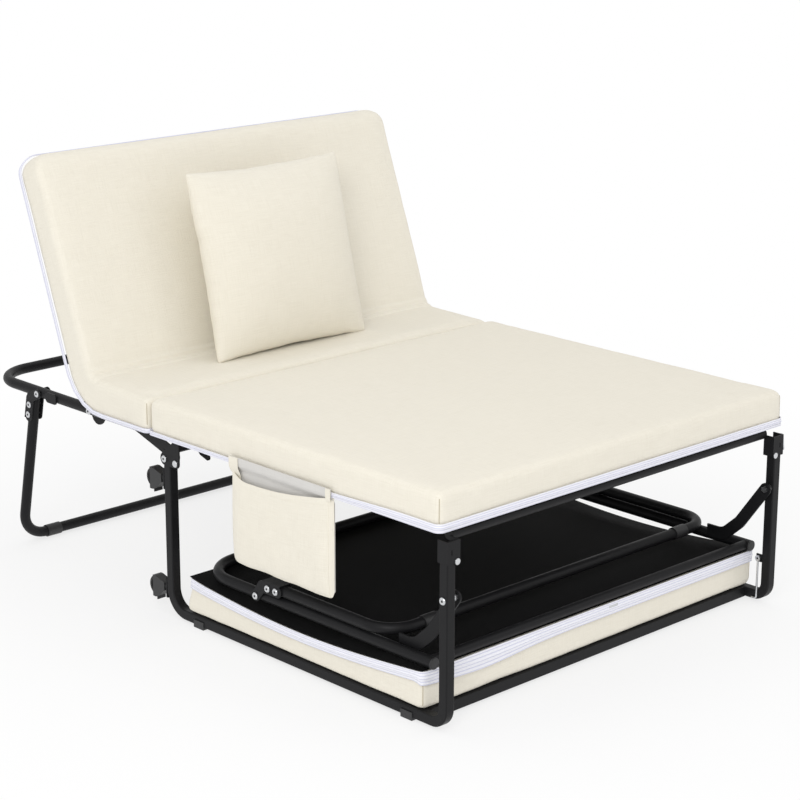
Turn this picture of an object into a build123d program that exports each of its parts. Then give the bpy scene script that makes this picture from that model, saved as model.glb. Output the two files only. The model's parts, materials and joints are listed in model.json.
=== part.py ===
from build123d import *
import os
from math import sin, cos, radians, sqrt

# A folding sleeper bed, shown as a lounger: a square-tube base on the floor, a seat over it,
# a head section on its own folding leg with a lift-up backrest, and a foot section stowed
# upside down inside the base. Millimetres, Z up, Y from the foot end to the head end, X across.
# Places along Y are written from the front face of the front legs, and save() moves them so
# that the origin lies on the floor under the middle of the whole part.

# Base
base_width = 926
base_tube = 20
base_wall = 1.5
base_length = 783
leg_top_z = 343
pad_height = 5
pad_length = 30
pad_wall = 2
pad_wrap = 11
pad_inset = 99
front_bend_radius = 28
rear_bend_radius = 45
front_rail_y = 67
rear_rail_inset = 65

# Round tubes of the three folding sections
tube_radius = 11
tube_wall = 1.2
cross_radius = 9.5
back_tube_radius = 10
frame_z = 357
plate_thickness = 3
hinge_gap = 1.8
fit_gap = 0.3
run_gap = 0.05
bolt_radius = 4
bolt_head_radius = 7
bolt_head_height = 3

# Seat section
seat_side_inset = 39
seat_front_tube_y = 26
seat_rear_tube_inset = 42
hinge_inset = 8
hinge_z = 327
lobe_hole_drop = 15
mattress_thickness = 70
mattress_overhang = 13
seat_front_y = 8
seam_overhang = 32
mattress_corner = 15
deck_thickness = 1.7
zip_height = 16
zip_thickness = 1.5
cover_crown = 4
cover_draw_in = 2
slider_x = 22
pull_length = 25

# Caps that seat the seat frame on the front legs
cap_low_z = 314
cap_high_z = 355
cap_plate = 2.1
cap_gap = 0.4
cap_depth = 24.5
cap_lip = 6
cap_screw_radius = 6

# Head section
head_tube_start = 70
head_bar = 652
head_bend_radius = 90
head_cross = 97
head_leg_pivot = 463
lock_reach = 61
flat_length = 156
bend_outer_radius = 115
back_slope = 70
back_pad_length = 436

# Folding legs
leg_offset = 23.5
leg_tilt = 12.1
leg_bend_radius = 59
sleeve_wall = 2
sleeve_length = 35
sleeve_inset = 93
leg_plate = 2.5
leg_bolt_one = 35
leg_bolt_two = 58
leg_plate_radius = 11.5
pivot_plate_radius = 10.5

# Foot section, stowed upside down
foot_pivot_y = 10
foot_pivot_z = 246
foot_pad_front_y = 55
foot_pad_rear_inset = 55
foot_pad_inset = 10
foot_side_inset = 18
foot_leg_pivot_inset = 268
foot_bar_inset = 83
foot_leg_cross_y = 160
foot_cross_y = 62
foot_tube_start_y = 50
foot_pad_thickness = 76
arm_width = 25
arm_thickness = 4
arm_lap = 2
arm_elbow_y = 70
arm_elbow_z = 162
arm_low_y = 109
arm_end_y = 150
arm_bend_radius = 40

# Casters on the backs of the rear legs
upper_caster_z = 283
lower_caster_z = 58
caster_trail = 7
caster_reach = 41
caster_plate_height = 44
wheel_radius = 20
wheel_width = 13
wheel_dish_radius = 14
hood_width = 20
hood_wall = 2
stud_radius = 4
axle_radius = 2.5

# Side pocket, pillow, hook and latch
pocket_front_y = 278
pocket_width = 282
pocket_low_z = 180
pocket_wall = 1.6
pocket_gap = 3
pocket_depth_low = 20
pocket_depth_high = 9
pocket_droop = 18
pillow_size = 374
pillow_thickness = 140
pillow_y = 921
pillow_x = -7
pillow_slope = 76
pillow_shares = [(-1, 0.38), (-0.92, 0.27), (-0.75, 0.16), (-0.5, 0.08), (-0.2, 0.02),
                 (0.2, 0.02), (0.5, 0.08), (0.75, 0.16), (0.92, 0.27), (1, 0.38)]
hook_y = 27
hook_z = 95
hook_low_z = 7
hook_radius = 2
latch_length = 35
latch_width = 10
latch_thickness = 3
overrun = 2

# Worked out from the sizes above
base_half = base_width / 2
leg_inner = base_half - base_tube
leg_x = base_half - base_tube / 2
rail_z = pad_height + base_tube / 2
rear_leg_y = base_length - base_tube / 2
side_x = leg_inner - hinge_gap - plate_thickness - tube_radius
seat_side_x = leg_inner - seat_side_inset
foot_side_x = base_half - foot_side_inset
arm_x = foot_side_x - tube_radius - arm_lap
sleeve_x = leg_inner - sleeve_inset
pocket_rear_y = pocket_front_y + pocket_width
mattress_half_width = base_half + mattress_overhang
hinge_y = base_length - hinge_inset
seat_rear_tube_y = base_length - seat_rear_tube_inset
seam_y = base_length + seam_overhang
head_tube_start_y = hinge_y + head_tube_start
head_bar_y = hinge_y + head_bar
head_cross_y = hinge_y + head_cross
head_leg_pivot_y = hinge_y + head_leg_pivot
flat_end_y = seam_y + flat_length
foot_pad_rear_y = base_length - foot_pad_rear_inset
foot_leg_pivot_y = base_length - foot_leg_pivot_inset
foot_bar_y = base_length - foot_bar_inset
tube_outer = side_x + tube_radius
tube_inner = side_x - tube_radius
deck_z = frame_z + tube_radius
pad_z = deck_z + deck_thickness + fit_gap
seat_rear_y = seam_y - fit_gap
bend_inner_radius = bend_outer_radius - mattress_thickness
bend_z = pad_z + bend_outer_radius
back_side_x = tube_inner - leg_plate - bolt_head_height - back_tube_radius - hinge_gap
back_offset = back_tube_radius + deck_thickness + fit_gap
slope_sin = sin(radians(back_slope))
slope_cos = cos(radians(back_slope))
back_line_y = flat_end_y + (bend_outer_radius + back_offset) * slope_sin
back_line_z = bend_z - (bend_outer_radius + back_offset) * slope_cos
back_pivot_y = back_line_y - (back_line_z - frame_z) * slope_cos / slope_sin
back_bend_radius = head_bend_radius - (side_x - back_side_x)
back_bar_s = head_bar_y - (side_x - back_side_x) - back_pivot_y
leg_drop = frame_z - tube_radius - sleeve_wall + leg_offset * sin(radians(leg_tilt))
leg_length = leg_drop / cos(radians(leg_tilt))
foot_rest_z = pad_height + base_tube + fit_gap
foot_deck_z = foot_rest_z + foot_pad_thickness + fit_gap
foot_tube_z = foot_deck_z + deck_thickness + tube_radius
foot_pad_half = mattress_half_width - foot_pad_inset
pocket_inner_x = foot_pad_half + pocket_gap
foot_leg_length = foot_leg_pivot_y - foot_leg_cross_y
total_front_y = -cap_plate - cap_gap - bolt_head_height
total_rear_y = head_bar_y + tube_radius
middle_y = (total_front_y + total_rear_y) / 2

os.makedirs("parts", exist_ok=True)


def save(name, *solids):
    """Writes one node's solids as they stand in the part's own frame."""
    moved = [Pos(0, -middle_y, 0) * s for s in solids]
    export_step(Compound(children=moved) if len(moved) > 1 else moved[0], f"parts/{name}.step")


def both_sides(solid):
    """The solid and its mirror image across the middle of the part."""
    return [solid, mirror(solid, about=Plane.YZ)]


def block(x0, x1, y0, y1, z0, z1):
    """A box between two corners."""
    centre = Pos((x0 + x1) / 2, (y0 + y1) / 2, (z0 + z1) / 2)
    return centre * Box(abs(x1 - x0), abs(y1 - y0), abs(z1 - z0))


def rod_x(x0, x1, y, z, radius):
    """A round rod along X."""
    return Pos((x0 + x1) / 2, y, z) * Rot(0, 90, 0) * Cylinder(radius, abs(x1 - x0))


def rod_y(x, y0, y1, z, radius):
    """A round rod along Y."""
    return Pos(x, (y0 + y1) / 2, z) * Rot(90, 0, 0) * Cylinder(radius, abs(y1 - y0))


def bolt_x(x_head, x_end, y, z, nut=True):
    """A bolt along X with a pan head at x_head and a nut at x_end."""
    way = 1 if x_end > x_head else -1
    shank = rod_x(x_head, x_end, y, z, bolt_radius)
    head = rod_x(x_head, x_head - way * bolt_head_height, y, z, bolt_head_radius)
    rim = head.edges().filter_by(GeomType.CIRCLE).sort_by(Axis.X)[0 if way > 0 else -1]
    head = chamfer(rim, bolt_head_height / 3)
    solid = shank + head
    if nut:
        turn = Pos(x_end + way * bolt_head_height / 2, y, z) * Rot(0, 90, 0)
        solid = solid + turn * extrude(RegularPolygon(bolt_head_radius, 6), bolt_head_height / 2, both=True)
    return solid


def bolt_hole_x(x0, x1, y, z, gap=run_gap):
    """The cutter for a bolt along X."""
    return rod_x(x0, x1, y, z, bolt_radius + gap)


def swept(points, radii, section):
    """A bar with the given section along straight runs joined by tangent arcs."""
    path = FilletPolyline(*points, radius=radii) if radii else Line(*points)
    start = path @ 0
    plane = Plane(origin=start, x_dir=section[0], z_dir=path % 0)
    return sweep(plane * section[1], path=path)


def yz_plate(x0, x1, outline):
    """A plate between two X planes, cut to an outline drawn in Y and Z."""
    face = Plane(origin=(min(x0, x1), 0, 0), x_dir=(0, 1, 0), z_dir=(1, 0, 0)) * outline
    return extrude(face, abs(x1 - x0), dir=(1, 0, 0))


def hull_of(circles):
    """The outline round several circles, each given as (y, z, radius)."""
    edges = [e for y, z, r in circles for e in (Pos(y, z) * Circle(r)).edges()]
    return make_hull(edges)


def u_tube(half_x, start, bar, bend, radius, plane, bore_depth=0):
    """A U of round tube: two side runs from start to the cross bar, in the given plane."""
    points = [(-half_x, start), (-half_x, bar), (half_x, bar), (half_x, start)]
    path = plane * FilletPolyline(*points, radius=bend)
    section = Plane(origin=path @ 0, z_dir=path % 0) * Circle(radius)
    solid = sweep(section, path=path)
    if bore_depth:
        for x in (-half_x, half_x):
            cutter = Pos(x, start + bore_depth / 2) * Rot(90, 0, 0) * Cylinder(radius - tube_wall, bore_depth)
            solid = solid - plane * cutter
    return solid


def pad_outline(half_x, y0, y1, inset, draw_in, corner):
    """A rounded rectangle whose sides draw in between the corners."""
    x = half_x - inset
    low = y0 + inset
    high = y1 - inset
    r = max(corner - inset, corner / 4)
    diag = r * (1 - sqrt(0.5))
    mid = (low + high) / 2
    sides = [
        ThreePointArc((-x + r, low), (0, low + draw_in), (x - r, low)),
        ThreePointArc((x - r, low), (x - diag, low + diag), (x, low + r)),
        ThreePointArc((x, low + r), (x - draw_in, mid), (x, high - r)),
        ThreePointArc((x, high - r), (x - diag, high - diag), (x - r, high)),
        ThreePointArc((x - r, high), (0, high - draw_in), (-x + r, high)),
        ThreePointArc((-x + r, high), (-x + diag, high - diag), (-x, high - r)),
        ThreePointArc((-x, high - r), (-x + draw_in, mid), (-x, low + r)),
        ThreePointArc((-x, low + r), (-x + diag, low + diag), (-x + r, low)),
    ]
    return make_face(sides)


def stacked(levels, half_x, y0, y1, draw_in, corner):
    """A soft block lofted through outlines, each level given as (z, inset)."""
    faces = [Pos(0, 0, z) * pad_outline(half_x, y0, y1, inset, draw_in, corner) for z, inset in levels]
    return loft(faces, ruled=True)


def flat_pad(half_x, y0, y1, z_zip, z_crown, corner):
    """A mattress: a set-in band for the zip at z_zip, rolled edges and a crown at z_crown."""
    way = 1 if z_crown > z_zip else -1
    band = zip_thickness + fit_gap
    thick = abs(z_crown - z_zip)
    edge = thick / 7
    low = loft([
        Pos(0, 0, z_zip) * pad_outline(half_x, y0, y1, band + edge / 4, cover_draw_in, corner),
        Pos(0, 0, z_zip + way * zip_height) * pad_outline(half_x, y0, y1, band, cover_draw_in, corner),
    ], ruled=True)
    levels = [
        (z_zip + way * zip_height, 0),
        (z_crown - way * edge, 0),
        (z_crown - way * edge / 3, edge / 3),
        (z_crown, edge),
        (z_crown + way * cover_crown / 2, 8 * edge),
        (z_crown + way * cover_crown, 24 * edge),
    ]
    return low + stacked(levels, half_x, y0, y1, cover_draw_in, corner)


def zip_band(half_x, y0, y1, z_zip, way, corner):
    """The zip tape round the foot of a mattress."""
    outer = pad_outline(half_x, y0, y1, 0, cover_draw_in, corner)
    inner = pad_outline(half_x, y0, y1, zip_thickness, cover_draw_in, corner)
    tape = Pos(0, 0, z_zip + way * fit_gap) * (outer - inner)
    return extrude(tape, zip_height - 2 * fit_gap, dir=(0, 0, way))


def side_frame(x):
    """One side of the base: a square tube bent from leg to floor rail to leg."""
    points = [
        (x, base_tube / 2, leg_top_z),
        (x, base_tube / 2, rail_z),
        (x, rear_leg_y, rail_z),
        (x, rear_leg_y, leg_top_z),
    ]
    outer = RectangleRounded(base_tube, base_tube, base_tube / 8)
    inner = Rectangle(base_tube - 2 * base_wall, base_tube - 2 * base_wall)
    frame = swept(points, [front_bend_radius, rear_bend_radius], ((1, 0, 0), outer - inner))
    side = 1 if x > 0 else -1
    near = side * (leg_inner - overrun)
    far = side * (base_half + overrun)
    frame = frame - bolt_hole_x(near, far, foot_pivot_y, foot_pivot_z)
    frame = frame - bolt_hole_x(near, far, hinge_y, hinge_z)
    if x > 0:
        tab = block(leg_inner, leg_inner + plate_thickness, base_tube, hook_y + 3 * hook_radius,
                    hook_z - 4 * hook_radius, hook_z + 4 * hook_radius)
        stud = rod_x(leg_inner, leg_inner - 2 * hook_radius - fit_gap, hook_y, hook_z, hook_radius)
        frame = frame + tab + stud
    return frame


def make_base():
    save("side_frame_left", side_frame(-leg_x))
    save("side_frame_right", side_frame(leg_x))
    rails = []
    for y in (front_rail_y, base_length - rear_rail_inset):
        half = base_tube / 2
        outer = block(-leg_inner, leg_inner, y - half, y + half, rail_z - half, rail_z + half)
        bore = half - base_wall
        rails.append(outer - block(-leg_inner, leg_inner, y - bore, y + bore, rail_z - bore, rail_z + bore))
    save("base_cross_rails", *rails)
    pads = []
    room = base_tube / 2 + run_gap
    reach = room + pad_wall
    for y in (pad_inset, base_length - pad_inset):
        y0 = y - pad_length / 2
        y1 = y + pad_length / 2
        pad = block(leg_x - reach, leg_x + reach, y0, y1, 0, pad_height + pad_wrap)
        pad = chamfer(pad.edges().filter_by(Axis.Z) + pad.faces().sort_by(Axis.Z)[0].edges(), pad_wall / 2)
        ends = (y0 - overrun, y1 + overrun)
        rail = block(leg_x - room, leg_x + room, *ends, pad_height, pad_height + base_tube)
        pads += both_sides(pad - rail)
    save("floor_pads", *pads)
    bolts = []
    pivot_end = arm_x - arm_thickness / 2
    spacer_start = arm_x + arm_thickness / 2 + fit_gap
    spacer = rod_x(spacer_start, leg_inner, foot_pivot_y, foot_pivot_z, bolt_head_radius)
    bolts += both_sides(bolt_x(base_half, pivot_end - fit_gap, foot_pivot_y, foot_pivot_z) + spacer)
    head_at = base_half + fit_gap + plate_thickness
    bolts += both_sides(bolt_x(head_at + fit_gap, tube_outer - fit_gap, hinge_y, hinge_z))
    save("base_bolts", *bolts)


def caster_places():
    """Each caster's name, its leg's X and the height of its swivel."""
    for side, x in (("left", -leg_x), ("right", leg_x)):
        for level, z in (("upper", upper_caster_z), ("lower", lower_caster_z)):
            yield f"{level}_{side}", x, z


def caster_fork(x, z):
    """A hooded fork: boss on the stud, a hood over the wheel, two cheeks, an axle and a tab."""
    plate_y = base_length + plate_thickness
    wheel_y = base_length + caster_reach
    wheel_z = z - caster_trail
    half = hood_width / 2
    hood_radius = wheel_radius + fit_gap + hood_wall
    boss_radius = stud_radius + 2 * hood_wall
    boss_end = plate_y + fit_gap + boss_radius
    boss = rod_y(x, plate_y + fit_gap, boss_end, z, boss_radius)
    shell = hull_of([(wheel_y, wheel_z, hood_radius), (boss_end, z, boss_radius)])
    x0 = x - half
    x1 = x + half
    hood = yz_plate(x0, x1, shell)
    hood = hood - block(x0, x1, plate_y - overrun, boss_end - hood_wall, z - wheel_radius, z + wheel_radius)
    hood = hood - block(x0, x1, wheel_y + wheel_radius / 4, wheel_y + 2 * wheel_radius,
                        wheel_z - 2 * wheel_radius, wheel_z + 2 * wheel_radius)
    room = wheel_width / 2 + fit_gap
    hood = hood - rod_x(x - room, x + room, wheel_y, wheel_z, wheel_radius + fit_gap)
    hood = hood - block(x - room, x + room, wheel_y - wheel_radius / 2, wheel_y + 2 * wheel_radius,
                        wheel_z - 2 * wheel_radius, wheel_z - wheel_radius / 4)
    axle = rod_x(x0, x1, wheel_y, wheel_z, axle_radius)
    tab = block(x0, x1, wheel_y - wheel_radius / 2, wheel_y - wheel_radius / 2 + hood_wall,
                wheel_z - hood_radius - 2 * hood_wall, wheel_z - hood_radius + 2 * hood_wall)
    fork = hood + boss + axle + tab
    return fork - rod_y(x, plate_y, boss_end - hood_wall / 2, z, stud_radius + run_gap)


def caster_wheel(x, z):
    """A wheel with a rounded tread and dished sides."""
    wheel_y = base_length + caster_reach
    wheel_z = z - caster_trail
    wheel = rod_x(x - wheel_width / 2, x + wheel_width / 2, wheel_y, wheel_z, wheel_radius)
    wheel = fillet(wheel.edges().filter_by(GeomType.CIRCLE), wheel_width / 6)
    for way in (-1, 1):
        face_x = x + way * wheel_width / 2
        floor_x = face_x - way * wheel_width / 6
        dish = rod_x(face_x, floor_x, wheel_y, wheel_z, wheel_dish_radius)
        hub = rod_x(face_x, floor_x, wheel_y, wheel_z, 3 * axle_radius)
        wheel = wheel - (dish - hub)
    return wheel - rod_x(x - wheel_width, x + wheel_width, wheel_y, wheel_z, axle_radius + run_gap)


def make_casters():
    plates = []
    for name, x, z in caster_places():
        plate_y = base_length + plate_thickness
        plate = block(x - base_tube / 2, x + base_tube / 2, base_length, plate_y,
                      z - caster_plate_height / 2, z + caster_plate_height / 2)
        plate = fillet(plate.edges().filter_by(Axis.Y), base_tube / 8)
        boss_end = plate_y + fit_gap + stud_radius + 2 * hood_wall
        plates.append(plate + rod_y(x, plate_y, boss_end - hood_wall, z, stud_radius))
        save(f"caster_fork_{name}", caster_fork(x, z))
        save(f"caster_wheel_{name}", caster_wheel(x, z))
    save("caster_plates", *plates)


def leg_cap():
    """The folded cap that drops over a front leg's top."""
    x0 = leg_inner - cap_gap - cap_plate - cap_lip
    x1 = base_half + cap_gap + cap_plate
    y0 = -cap_gap - cap_plate
    top = leg_top_z + fit_gap
    y1 = y0 + cap_depth
    cap = block(x0, x1, y0, y1, cap_low_z, cap_high_z)
    cap = cap - block(x0 + cap_plate, x1 - cap_plate, y0 + cap_plate, y1, cap_low_z, top)
    cap = cap - block(x0 + cap_plate, x1 - cap_plate, y0 + cap_plate, y1, top + cap_plate, cap_high_z)
    place = Pos((x0 + x1) / 2 + base_tube / 4, y0, (cap_low_z + cap_high_z) / 2) * Rot(90, 0, 0)
    slot = extrude(SlotOverall(base_tube / 2, cap_plate, rotation=90), cap_plate + cap_gap / 2, both=True)
    cap = cap - place * slot
    screw_x = x0 + cap_screw_radius + cap_plate / 2
    screw_z = cap_low_z + cap_plate
    ear = rod_y(screw_x, y0, y0 + cap_plate, screw_z, cap_screw_radius + cap_plate / 2)
    screw = rod_y(screw_x, y0, y0 - bolt_head_height / 2, screw_z, cap_screw_radius)
    return cap + ear, fillet(screw.faces().sort_by(Axis.Y)[0].edges(), bolt_head_height / 4)


def make_seat():
    cap, screw = leg_cap()
    save("front_leg_caps", *both_sides(cap))
    half_front = leg_inner - cap_gap - cap_plate - cap_lip
    save("seat_front_tube", rod_x(-half_front, half_front, seat_front_tube_y, frame_z, tube_radius))
    plate_x = base_half + fit_gap
    save("seat_rear_tube", rod_x(-plate_x, plate_x, seat_rear_tube_y, frame_z, tube_radius))
    front = rod_x(-half_front, half_front, seat_front_tube_y, frame_z, tube_radius)
    rear = rod_x(-plate_x, plate_x, seat_rear_tube_y, frame_z, tube_radius)
    side = rod_y(seat_side_x, seat_front_tube_y, seat_rear_tube_y, frame_z, tube_radius) - front - rear
    save("seat_side_tubes", *both_sides(side))
    plate = yz_plate(plate_x, plate_x + plate_thickness, hull_of([
        (hinge_y, hinge_z, bolt_head_radius + 2 * plate_thickness),
        (seat_rear_tube_y, frame_z, tube_radius),
        (seat_rear_tube_y, hinge_z - plate_thickness, bolt_head_radius + plate_thickness),
    ]))
    stop_z = hinge_z - plate_thickness
    past_plate = plate_x + plate_thickness + overrun
    plate = plate - bolt_hole_x(plate_x - overrun, past_plate, hinge_y, hinge_z)
    plate = plate - bolt_hole_x(plate_x - overrun, past_plate, seat_rear_tube_y, stop_z, 0)
    latch_x = seat_side_x + tube_radius
    lobe_y = seat_rear_tube_y - 3 * tube_radius
    lobe = hull_of([
        (lobe_y, frame_z - tube_radius / 2, tube_radius / 2),
        (lobe_y + tube_radius, frame_z - tube_radius, tube_radius),
        (lobe_y - tube_radius / 2, frame_z - 2 * tube_radius, tube_radius / 2),
    ])
    lobe = lobe - Pos(lobe_y - tube_radius / 2, frame_z - lobe_hole_drop) * Circle(tube_radius / 4)
    lobe_plate = yz_plate(latch_x, latch_x + arm_thickness, lobe)
    save("rear_hinge_plates", *both_sides(plate), *both_sides(lobe_plate))
    stop = bolt_x(plate_x + plate_thickness, plate_x, seat_rear_tube_y, stop_z)
    save("seat_bolts", *both_sides(stop), *both_sides(screw), latch_pin())
    deck_half = seat_side_x + tube_radius
    deck_front = seat_front_tube_y - tube_radius
    deck_rear = seat_rear_tube_y + tube_radius
    save("seat_deck", block(-deck_half, deck_half, deck_front, deck_rear, deck_z, deck_z + deck_thickness))
    outline = (mattress_half_width, seat_front_y, seat_rear_y)
    save("seat_mattress", flat_pad(*outline, pad_z, pad_z + mattress_thickness, mattress_corner))
    save("seat_zip_band", zip_band(*outline, pad_z, 1, mattress_corner))


def pocket_section(z, depth, inset):
    """The pocket's outline at one height: a flat back and a bulging front."""
    x0 = -pocket_inner_x - inset
    x1 = -pocket_inner_x - depth + inset
    y0 = pocket_front_y + inset
    y1 = pocket_rear_y - inset
    bulge = (pocket_depth_low - pocket_depth_high) / 6
    lines = [
        Line((x0, y0), (x0, y1)),
        Line((x0, y1), (x1, y1)),
        ThreePointArc((x1, y1), (x1 - bulge, (y0 + y1) / 2), (x1, y0)),
        Line((x1, y0), (x0, y0)),
    ]
    return Pos(0, 0, z) * make_face(lines)


def make_pocket():
    """A hanging fabric pocket: its back runs up to the mattress, its mouth droops in the middle."""
    high = pad_z - fit_gap
    mid = (pocket_low_z + high) / 2
    depth_mid = (pocket_depth_low + pocket_depth_high) / 2
    bag = loft([
        pocket_section(pocket_low_z, pocket_depth_low, 0),
        pocket_section(mid, depth_mid, 0),
        pocket_section(high, pocket_depth_high, 0),
    ], ruled=True)
    hollow = loft([
        pocket_section(pocket_low_z + pocket_wall, pocket_depth_low, pocket_wall),
        pocket_section(mid, depth_mid, pocket_wall),
        pocket_section(high + overrun, pocket_depth_high, pocket_wall),
    ], ruled=True)
    bag = bag - hollow
    before = pocket_front_y - overrun
    after = pocket_rear_y + overrun
    middle = (pocket_front_y + pocket_rear_y) / 2
    low = high - pocket_droop
    droop = [
        Line((before, high), (pocket_front_y, high)),
        ThreePointArc((pocket_front_y, high), (middle, low), (pocket_rear_y, low)),
        Line((pocket_rear_y, low), (after, low)),
        Line((after, low), (after, high + overrun)),
        Line((after, high + overrun), (before, high + overrun)),
        Line((before, high + overrun), (before, high)),
    ]
    outer = -pocket_inner_x - pocket_depth_low
    cut = yz_plate(-pocket_inner_x - pocket_wall, outer, make_face(droop))
    save("side_pocket", bag - cut)


def head_profile(x, inset, split):
    """The side view of the flat and bent part of the head mattress, or of the backrest."""
    out = bend_outer_radius - inset
    inn = bend_inner_radius + inset
    half = radians(back_slope / 2)
    full = radians(back_slope)
    quarter = half / 2 if split == "head" else (half + full) / 2

    def at(radius, angle):
        return (flat_end_y + radius * sin(angle), bend_z - radius * cos(angle))

    def up(radius, length):
        y, z = at(radius, full)
        return (y + length * cos(full), z + length * sin(full))

    if split == "head":
        y0 = seam_y + fit_gap + inset
        lines = [
            Line((y0, bend_z - out), (flat_end_y, bend_z - out)),
            ThreePointArc((flat_end_y, bend_z - out), at(out, quarter), at(out, half)),
            Line(at(out, half), at(inn, half)),
            ThreePointArc(at(inn, half), at(inn, quarter), (flat_end_y, bend_z - inn)),
            Line((flat_end_y, bend_z - inn), (y0, bend_z - inn)),
            Line((y0, bend_z - inn), (y0, bend_z - out)),
        ]
    else:
        seam = radians(fit_gap)
        top = back_pad_length - inset
        round_off = mattress_thickness / 4
        lines = [
            ThreePointArc(at(out, half + seam), at(out, quarter), at(out, full)),
            Line(at(out, full), up(out, top - round_off)),
            Line(up(out, top - round_off), up(out - round_off, top)),
            Line(up(out - round_off, top), up(inn + round_off, top)),
            Line(up(inn + round_off, top), up(inn, top - round_off)),
            Line(up(inn, top - round_off), at(inn, full)),
            ThreePointArc(at(inn, full), at(inn, quarter), at(inn, half + seam)),
            Line(at(inn, half + seam), at(out, half + seam)),
        ]
    plane = Plane(origin=(x, 0, 0), x_dir=(0, 1, 0), z_dir=(1, 0, 0))
    return plane * make_face(lines)


def bent_pad(split):
    """A bent mattress lofted across its width, thinner at its rolled sides."""
    edge = mattress_thickness / 7
    half = mattress_half_width - zip_thickness - fit_gap
    steps = [(-half, edge), (edge / 3 - half, edge / 3), (edge - half, 0),
             (half - edge, 0), (half - edge / 3, edge / 3), (half, edge)]
    return loft([head_profile(x, inset, split) for x, inset in steps], ruled=True)


def bent_zip(split):
    """The zip tapes along both sides of a bent mattress, close to its outer face."""
    edge = mattress_thickness / 7
    keep = mattress_thickness - 2 * edge - zip_height
    side = head_profile(mattress_half_width - zip_thickness, edge, split)
    band = extrude(side, zip_thickness, dir=(1, 0, 0))
    inner = bend_inner_radius + edge + keep
    core = Pos(0, flat_end_y, bend_z) * Rot(0, 90, 0) * Cylinder(inner, 2 * base_width)
    if split == "head":
        core = core + block(-base_width, base_width, 0, flat_end_y, bend_z - inner, bend_z)
    else:
        turn = Pos(0, flat_end_y, bend_z) * Rot(back_slope, 0, 0)
        core = core + turn * block(-base_width, base_width, 0, 2 * back_pad_length, -inner, 0)
    return both_sides(band - core)


def zip_slider():
    """The slider and pull of the zip at the front of the stowed mattress."""
    z = foot_rest_z + foot_pad_thickness - zip_height / 2
    y = foot_pad_front_y + cover_draw_in - run_gap
    body = block(slider_x - zip_height / 3, slider_x + zip_height / 3, y - zip_thickness, y,
                 z - zip_height / 4, z + zip_height / 4)
    pull = block(slider_x, slider_x + pull_length, y - 2 * zip_thickness, y - zip_thickness,
                 z - zip_height / 6, z + zip_height / 6)
    return body + pull


def leg_plane(y, z, tilt, way):
    """The plane of a folding leg: origin at its pivot, local -Z down the leg, local Y behind it."""
    up = (0, -sin(radians(tilt)), cos(radians(tilt))) if way > 0 else (0, 1, 0)
    return Plane(origin=(0, y, z), x_dir=(way, 0, 0), z_dir=up)


def local_rod(x0, x1, v, u, radius):
    return rod_x(x0, x1, v, -u, radius)


def folding_leg(prefix, plane, length, half_x):
    """A U of tube on two channel brackets, with plastic sleeves where it meets the floor."""
    frame = Plane(origin=(0, leg_offset, 0), x_dir=(1, 0, 0), z_dir=(0, -1, 0))
    lean = radians(leg_tilt)
    top = -(tube_radius + fit_gap + (leg_offset + tube_radius) * sin(lean)) / cos(lean)
    tube = u_tube(half_x, top, -length, leg_bend_radius, tube_radius, frame)
    out_x = half_x + tube_radius + fit_gap
    in_x = half_x - tube_radius - fit_gap
    for u in (leg_bolt_one, leg_bolt_two):
        for way in (-1, 1):
            ends = (way * (in_x - overrun), way * (out_x + overrun))
            tube = tube - local_rod(*ends, leg_offset, u, bolt_radius)
    sleeves = []
    for x in (-sleeve_x, sleeve_x):
        ends = (x - sleeve_length / 2, x + sleeve_length / 2)
        sleeve = local_rod(*ends, leg_offset, length, tube_radius + sleeve_wall)
        sleeves.append(sleeve - local_rod(*ends, leg_offset, length, tube_radius))
    knee = (leg_offset, -leg_bolt_one / 2, leg_plate_radius)
    toe = (leg_offset, -leg_bolt_two - leg_plate_radius / 3, leg_plate_radius)
    outline = hull_of([(0, 0, pivot_plate_radius), knee]) + hull_of([knee, toe])
    bracket = yz_plate(out_x, out_x + leg_plate, outline) + yz_plate(in_x - leg_plate, in_x, outline)
    web = leg_offset + tube_radius
    low = -leg_bolt_two - leg_plate_radius
    high = -(tube_radius + fit_gap + (web + leg_plate) * sin(lean)) / cos(lean)
    bracket = bracket + block(in_x - leg_plate, out_x + leg_plate, web, web + leg_plate, low, high)
    ends = (in_x - leg_plate - overrun, out_x + leg_plate + overrun)
    for v, u in ((0, 0), (leg_offset, leg_bolt_one), (leg_offset, leg_bolt_two)):
        gap = run_gap if u == 0 else 0
        bracket = bracket - local_rod(*ends, v, u, bolt_radius + gap)
    bolts = []
    for u in (leg_bolt_one, leg_bolt_two):
        bolts += both_sides(bolt_x(out_x + leg_plate, in_x - leg_plate, leg_offset, -u))
    where = plane.location
    save(f"{prefix}_tube", where * tube)
    save(f"{prefix}_brackets", *[where * s for s in both_sides(bracket)])
    save(f"{prefix}_bolts", *[where * s for s in bolts])
    save(f"{prefix}_sleeves", *[where * s for s in sleeves])


def frame_pivot_bolt(half_x, y, z):
    """The bolt on which a folding leg turns, through the section's side tube."""
    reach = tube_radius + 2 * fit_gap + leg_plate
    return bolt_x(half_x + reach, half_x - reach, y, z)


def tube_cap(x, y, z):
    """A plastic plug in a tube's open end, its flange facing the foot end."""
    flange = rod_y(x, y - plate_thickness, y, z, tube_radius)
    flange = fillet(flange.faces().sort_by(Axis.Y)[0].edges(), plate_thickness / 2)
    return flange + rod_y(x, y, y + tube_radius, z, tube_radius - tube_wall)


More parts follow.
